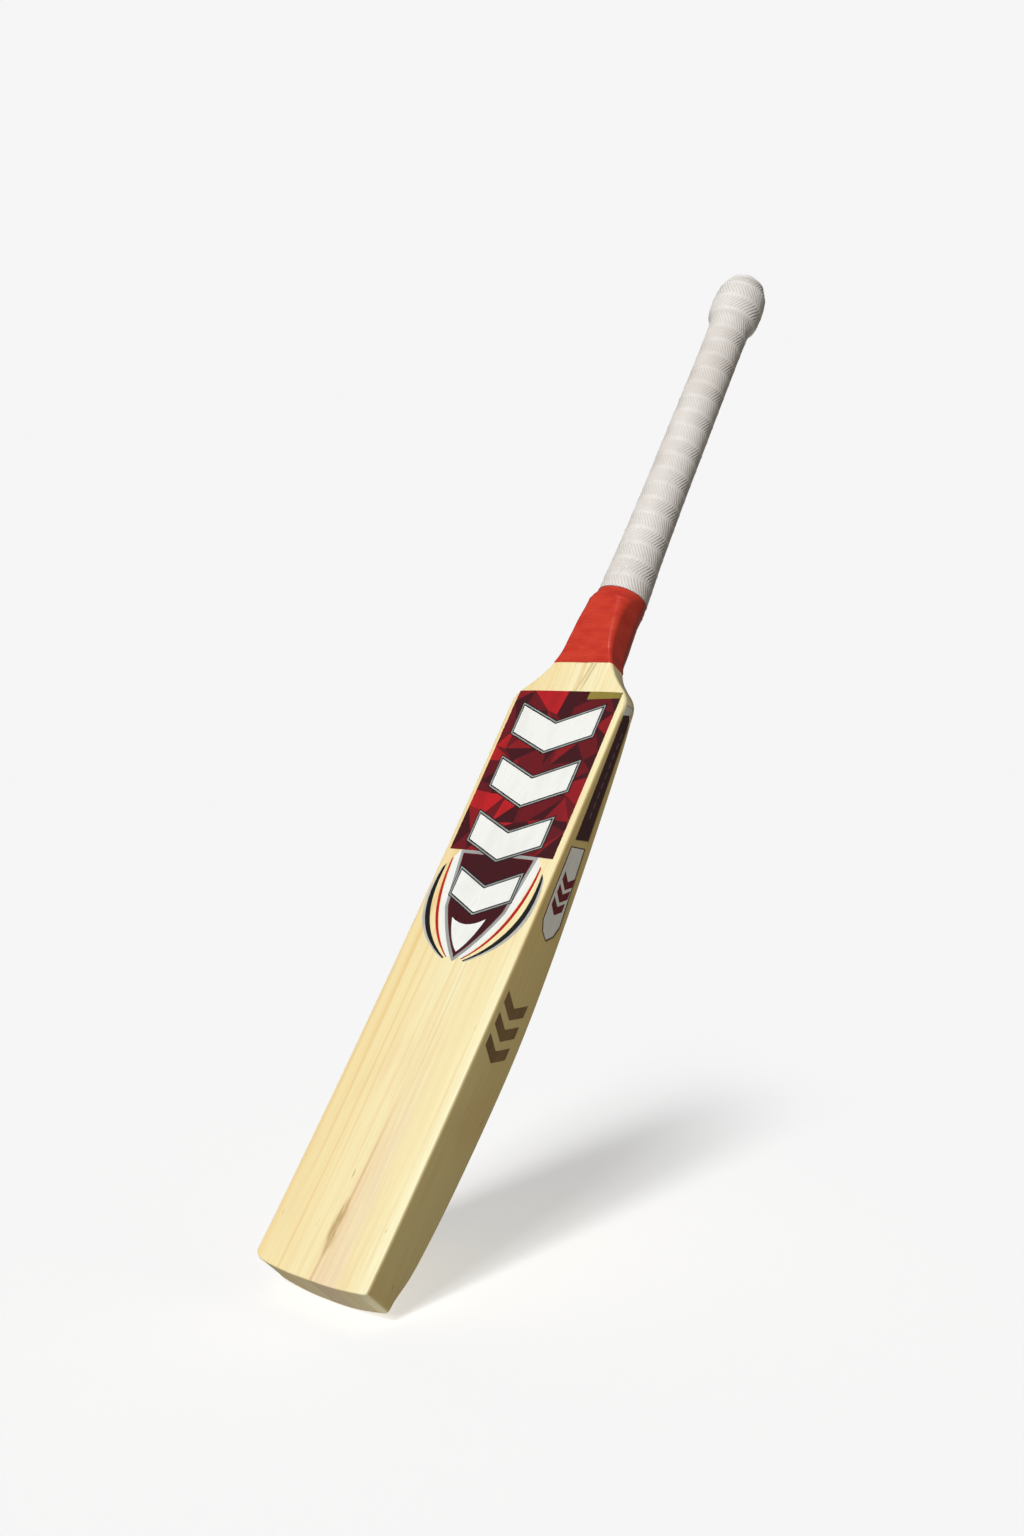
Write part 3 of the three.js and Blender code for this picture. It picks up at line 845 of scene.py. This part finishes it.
def on_back(u, v, height):
    return (u, back_y(u, v) + height, v)


def curve(start, bend, end, steps=14):
    """A quadratic curve between two points."""
    t = np.linspace(0, 1, steps + 1)[:, None]
    start, bend, end = (np.asarray(p, float) for p in (start, bend, end))
    return (1 - t) ** 2 * start + 2 * t * (1 - t) * bend + t**2 * end


def both(outline):
    return [outline, [(-u, v) for u, v in outline]]


def shards(left, right, low, high, columns, rows, seed):
    """A jittered mesh of triangles that fills a rectangle."""
    draw = random.Random(seed)
    grid = []
    for j in range(rows + 1):
        line = []
        for i in range(columns + 1):
            u = left + (right - left) * i / columns
            v = low + (high - low) * j / rows
            if 0 < i < columns:
                u += draw.uniform(-0.42, 0.42) * (right - left) / columns
            if 0 < j < rows:
                v += draw.uniform(-0.42, 0.42) * (high - low) / rows
            line.append((u, v))
        grid.append(line)
    triangles = []
    for j in range(rows):
        for i in range(columns):
            a, b, c, d = grid[j][i], grid[j][i + 1], grid[j + 1][i + 1], grid[j + 1][i]
            triangles += [[a, b, c], [a, c, d]] if draw.random() < 0.5 else [[a, b, d], [b, c, d]]
    return triangles, draw


def chevron(tip_v, half, rise, thickness, middle=0.0):
    """A bold V with its point toward the toe."""
    return [
        (middle, tip_v),
        (middle + half, tip_v + rise),
        (middle + half, tip_v + rise + thickness),
        (middle, tip_v + thickness),
        (middle - half, tip_v + rise + thickness),
        (middle - half, tip_v + rise),
    ]


def outlined(film, outline, inks, low):
    """A white shape with a black, grey and black border."""
    borders = ((2.9, "black"), (2.0, "grey"), (1.0, "black"), (0.0, "white"))
    for step, (distance, ink) in enumerate(borders):
        film.layer([grown(outline, distance)], inks[ink], low, low + 0.04 * (step + 1))


SHIELD_HALF = 28.5
SHIELD_TOP = 279.0
# Height of the tip, half-width, rise and thickness of each chevron.
CHEVRONS = ((411, 37, 15, 23), (365, 35.5, 15, 22), (320, 33.5, 14, 21), (277, 27.5, 12.5, 19))
# Where each stripe starts and ends, as a share of the way from the shield to the label's edge, and its ink.
SWEEPS = ((0.0, 0.36, "white"), (0.4, 0.5, "red"), (0.72, 0.9, "black"), (0.9, 1.0, "pale"))


def make_face_label(inks):
    film = Film(on_face)
    half, top, bottom, tip = LABEL["half"], LABEL["top"], LABEL["bottom"], LABEL["tip"]
    triangles, draw = shards(-half, half, bottom, top, 6, 9, 11)
    reds = ["maroon", "maroon", "maroon", "dark_red", "dark_red", "crimson", "red"]
    for triangle in triangles:
        film.layer([triangle], inks[draw.choice(reds)], 0.02, 0.3)

    shield = shield_outline(tip, bottom)
    film.layer([shield], inks["grey"], 0.02, 0.3)
    film.layer([grown(shield, -2.6)], inks["dark_red"], 0.3, 0.34)
    film.layer([grown(shield, -3.3)], inks["maroon"], 0.34, 0.38)
    wave = [tuple(p) for p in curve((-17, 271), (-2, 262), (14, 273), 8)]
    point = [tuple(p) for p in curve((14, 273), (9, 255), (0, tip + 7), 8)[1:]]
    left = [tuple(p) for p in curve((0, tip + 7), (-11, 254), (-17, 271), 8)[1:-1]]
    film.layer([wave + point + left], inks["white"], 0.38, 0.42)
    for first, last, ink in SWEEPS:
        film.layer(both(sweep(first, last, tip)), inks[ink], 0.02, 0.25)

    for tip_v, half_v, rise, thickness in CHEVRONS:
        outlined(film, chevron(tip_v, half_v, rise, thickness), inks, 0.4)
    gold = [(19.5, top - 7), (half, top - 5), (half, top), (19.5, top)]
    film.layer([gold], inks["gold"], 0.3, 0.36)
    settle(film.finish("face_label_print"), "face_vinyl", "face_label")


def shield_outline(tip, bottom):
    """The pointed tail of the label."""
    side = [tuple(p) for p in curve((0.6, tip), (17, 255), (SHIELD_HALF, SHIELD_TOP))]
    side.append((SHIELD_HALF + 8, bottom))
    return side + [(-u, v) for u, v in reversed(side)]


def sweep(first, last, tip):
    """One tapering stripe beside the shield, between two shares of its way to the label's edge."""

    def line(share):
        start = (36.5 + 12.3 * share, 325 - 17 * share)
        bend = (26 + 34 * share, 270 - 10 * share)
        end = (4 + 6.5 * share, tip + 3.5 - 3 * share)
        return [tuple(p) for p in curve(start, bend, end)]

    return line(first) + line(last)[::-1]


def make_edge_films(inks):
    for side_name, side in (("right", 1), ("left", -1)):
        strip = Film(on_edge(side), 7.0, 22.0)
        strip.layer([[(9.8, 346), (22.6, 352), (11.4, 457), (3.6, 455)]], inks["strip"], 0.02, 0.3)
        strip.layer([[(3.3, 446), (10.6, 450.6), (11.1, 456.6), (3.8, 454.6)]], inks["block"], 0.3, 0.34)
        for k in range(9):
            low = 366 + 8 * k
            depth = 13.9 - 0.055 * (low - 366)
            dash = [(depth, low), (depth + 1, low), (depth + 0.7, low + 5), (depth - 0.3, low + 5)]
            strip.layer([dash], inks["faint"], 0.3, 0.33)
        settle(strip.finish(f"{side_name}_edge_strip_print"), "strip_vinyl", f"{side_name}_edge_strip")

        badge = Film(on_edge(side), 7.0, 22.0)
        outline = [(8.7, 340), (10.4, 300), (11.6, 283), (16, 276), (22.7, 272)]
        outline += [(28.5, 278), (31, 287), (28.5, 305), (22.8, 346)]
        badge.layer([outline], inks["strip"], 0.02, 0.26)
        badge.layer([grown(outline, -0.8)], inks["badge"], 0.26, 0.3)
        for v in (291, 301, 311):
            mark = [(13.6, v + 5), (20.2, v), (26.6, v + 6)]
            mark += [(26.0, v + 12.5), (20.0, v + 6.5), (13.2, v + 11.5)]
            badge.layer([mark], inks["dark_red"], 0.3, 0.34)
        settle(badge.finish(f"{side_name}_edge_badge_print"), "badge_vinyl", f"{side_name}_edge_badge")

        stamp = Film(on_edge(side), 9.0, 22.0)
        for v in (178, 194, 210):
            mark = [(9, v + 8), (21, v), (33, v + 8), (33, v + 17), (21, v + 9), (9, v + 17)]
            stamp.layer([mark], inks["stamp"], 0.0, 0.05)
        settle(stamp.finish(f"{side_name}_edge_stamp"), "willow")


def make_back_label(inks):
    film = Film(on_back, 4.0, 14.0)
    outline = [(0, 300), (16, 316), (16, 420), (-16, 420), (-16, 316)]
    film.layer([outline], inks["dark_red"], 0.02, 0.26)
    film.layer([grown(outline, -1.6)], inks["maroon"], 0.26, 0.3)
    for v in (330, 354, 378):
        film.layer([chevron(v, 11, 8, 9)], inks["white"], 0.3, 0.34)
    settle(film.finish("back_label_print"), "face_vinyl", "back_label")


# ---------------------------------------------------------------- put the pieces together


def repaint(node, material):
    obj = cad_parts[node]
    for slot in obj.material_slots:
        slot.material = material
    if not obj.material_slots:
        obj.data.materials.append(material)


willow, cane = willow_paint(), cane_paint()
inks = {
    "maroon": vinyl_paint("ink_maroon", (72, 22, 30)),
    "dark_red": vinyl_paint("ink_dark_red", (112, 26, 34)),
    "crimson": vinyl_paint("ink_crimson", (150, 30, 38)),
    "red": vinyl_paint("ink_red", (196, 34, 40)),
    "white": vinyl_paint("ink_white", (250, 251, 247), 0.3, 0.03),
    "black": vinyl_paint("ink_black", (30, 28, 30)),
    "grey": vinyl_paint("ink_grey", (170, 175, 172)),
    "pale": vinyl_paint("ink_pale", (205, 205, 200)),
    "block": vinyl_paint("ink_block", (222, 220, 208)),
    "badge": vinyl_paint("ink_badge", (232, 230, 220), 0.35, 0.05),
    "faint": vinyl_paint("ink_faint", (120, 96, 94)),
    "gold": vinyl_paint("ink_gold", (158, 142, 66)),
    "strip": vinyl_paint("ink_strip", (66, 34, 36)),
    "stamp": vinyl_paint("ink_stamp", (128, 100, 60), 0.55),
}
make_blade(willow)
make_canes(willow, cane)
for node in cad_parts:
    if node.startswith(("cane_2", "cane_3")):
        repaint(node, cane)
    if node.startswith("spring"):
        repaint(node, rubber_paint(node + "_rubber", (44, 38, 36), (30, 26, 25)))
repaint("knob_collar", rubber_paint("collar_rubber", (58, 54, 52), (40, 37, 36)))
repaint("twine_binding", twine_paint())
make_wrap(tape_paint())
make_grip(grip_paint())
make_face_label(inks)
make_edge_films(inks)
make_back_label(inks)

# ---------------------------------------------------------------- floor, light and camera

FLOOR_TILT = math.radians(35.5)
FLOOR_UP = Vector((0, -math.sin(FLOOR_TILT), math.cos(FLOOR_TILT)))
TOE_CONTACT = Vector(row([(0, TOE_BACK_Y, 0)])[0])
BACKDROP = 0.92
FLOOR_DIFFUSE = 0.77
FILL = 0.11
BOUNCE = 0.18
FILL_COLOR = (1.0, 0.94, 0.85)
KEYS = {"key_low": ((-0.14, 0.97, -0.1), 9, 1.4), "key_high": ((-0.27, 0.95, 0.16), 12, 1.46)}
BACK_LIGHT = ((0.42, -0.85, -0.25), 8, 1.2)
SHADOW_FADE = (0.3, 0.72)
SHADOW_SLANT = 0.5
FLOOR_SIZE = 30
FLOOR_DROP = 0.0004
LENS = 40.56
LENS_SHIFT = (0.0237, 0.0214)
CAMERA_AT = (0.8139, -0.8462, -0.0873)
CAMERA_WAY = (-0.6725, 0.6494, 0.3549)


def make_floor():
    across = Vector((1, 0, 0))
    deep = FLOOR_UP.cross(across)
    square = ((-1, -1), (1, -1), (1, 1), (-1, 1))
    corners = [TOE_CONTACT + FLOOR_SIZE * (a * across + b * deep) for a, b in square]
    mesh = bpy.data.meshes.new("floor")
    mesh.from_pydata([tuple(c - FLOOR_DROP * FLOOR_UP) for c in corners], [], [(0, 1, 2, 3)])
    mesh.update()
    floor = bpy.data.objects.new("floor", mesh)
    bpy.context.scene.collection.objects.link(floor)
    if mesh.polygons[0].normal.dot(FLOOR_UP) < 0:
        mesh.flip_normals()
    material = bpy.data.materials.new("floor_paper")
    material.use_nodes = True
    tree = material.node_tree
    tree.nodes.clear()
    add = tree.nodes.new

    def linked(node, **inputs):
        for key, value in inputs.items():
            numbered = key.startswith("i") and key[1:].isdigit()
            socket = node.inputs[int(key[1:]) if numbered else key]
            if isinstance(value, bpy.types.NodeSocket):
                tree.links.new(value, socket)
            else:
                socket.default_value = value
        return node

    falls = (power * -Vector(way).normalized().dot(FLOOR_UP) for way, _, power in KEYS.values())
    direct = sum(falls) / math.pi
    lit = [FLOOR_DIFFUSE * (direct + FILL * tint) for tint in FILL_COLOR]
    level = linked(add("ShaderNodeEmission"), Color=(BACKDROP,) * 3 + (1,), Strength=1.0)
    glow = linked(add("ShaderNodeEmission"), Color=[BACKDROP - share for share in lit] + [1], Strength=1.0)
    diffuse = linked(add("ShaderNodeBsdfDiffuse"), Color=(FLOOR_DIFFUSE,) * 3 + (1,))
    shadowed = linked(add("ShaderNodeAddShader"), i0=glow.outputs[0], i1=diffuse.outputs[0])
    where = add("ShaderNodeNewGeometry").outputs["Position"]
    from_toe = linked(add("ShaderNodeVectorMath"), i0=where, i1=TOE_CONTACT)
    from_toe.operation = "SUBTRACT"
    along = linked(add("ShaderNodeVectorMath"), i0=from_toe.outputs[0], i1=deep + SHADOW_SLANT * across)
    along.operation = "DOT_PRODUCT"
    fade = linked(add("ShaderNodeMapRange"), Value=along.outputs["Value"])
    fade.interpolation_type = "SMOOTHSTEP"
    linked(fade, i1=SHADOW_FADE[0], i2=SHADOW_FADE[1])
    paper = linked(add("ShaderNodeMixShader"), i0=fade.outputs[0], i1=shadowed.outputs[0], i2=level.outputs[0])
    clear = add("ShaderNodeBsdfTransparent")
    behind = add("ShaderNodeNewGeometry").outputs["Backfacing"]
    mixed = linked(add("ShaderNodeMixShader"), i0=behind, i1=paper.outputs[0], i2=clear.outputs[0])
    linked(add("ShaderNodeOutputMaterial"), Surface=mixed.outputs[0])
    mesh.materials.append(material)
    floor.visible_diffuse = False
    floor.visible_glossy = False
    floor.visible_shadow = False


def make_world():
    """The camera sees a pale backdrop. The bat is lit by a dimmer, even fill."""
    world = bpy.data.worlds.new("studio")
    bpy.context.scene.world = world
    world.use_nodes = True
    tree = world.node_tree
    seen = tree.nodes["Background"]
    seen.inputs["Color"].default_value = (1, 1, 1, 1)
    seen.inputs["Strength"].default_value = BACKDROP
    fill = tree.nodes.new("ShaderNodeBackground")
    fill.inputs["Color"].default_value = FILL_COLOR + (1,)
    way = tree.nodes.new("ShaderNodeTexCoord")
    below = tree.nodes.new("ShaderNodeVectorMath")
    below.operation = "DOT_PRODUCT"
    below.inputs[1].default_value = -FLOOR_UP
    tree.links.new(way.outputs["Generated"], below.inputs[0])
    lift = tree.nodes.new("ShaderNodeMapRange")
    for index, value in enumerate((0.0, 0.5, FILL, FILL + BOUNCE), 1):
        lift.inputs[index].default_value = value
    tree.links.new(below.outputs["Value"], lift.inputs["Value"])
    tree.links.new(lift.outputs["Result"], fill.inputs["Strength"])
    mix = tree.nodes.new("ShaderNodeMixShader")
    path = tree.nodes.new("ShaderNodeLightPath")
    tree.links.new(path.outputs["Is Camera Ray"], mix.inputs[0])
    tree.links.new(fill.outputs[0], mix.inputs[1])
    tree.links.new(seen.outputs[0], mix.inputs[2])
    tree.links.new(mix.outputs[0], tree.nodes["World Output"].inputs["Surface"])


def make_lights():
    """Two soft suns in front, and one behind, which comes from under the floor and never lights it."""
    for name, (way, spread, power) in (KEYS | {"back_light": BACK_LIGHT}).items():
        key = bpy.data.lights.new(name, "SUN")
        key.energy = power
        key.angle = math.radians(spread)
        lamp = bpy.data.objects.new(name, key)
        lamp.rotation_mode = "QUATERNION"
        lamp.rotation_quaternion = Vector(way).to_track_quat("-Z", "Y")
        bpy.context.scene.collection.objects.link(lamp)


def make_camera():
    camera = bpy.data.cameras.new("camera")
    camera.sensor_fit = "AUTO"
    camera.sensor_width = 36
    camera.lens = LENS
    camera.shift_x, camera.shift_y = LENS_SHIFT
    camera.clip_end = 100
    obj = bpy.data.objects.new("camera", camera)
    bpy.context.scene.collection.objects.link(obj)
    spot = Vector(CAMERA_AT)
    forward = Vector(CAMERA_WAY).normalized()
    right = forward.cross(FLOOR_UP).normalized()
    up = right.cross(forward)
    turn = Matrix((right, up, -forward)).transposed()
    obj.matrix_world = Matrix.Translation(spot) @ turn.to_4x4()
    bpy.context.scene.camera = obj


make_floor()
make_world()
make_lights()
make_camera()
bpy.context.scene.view_settings.view_transform = "Standard"
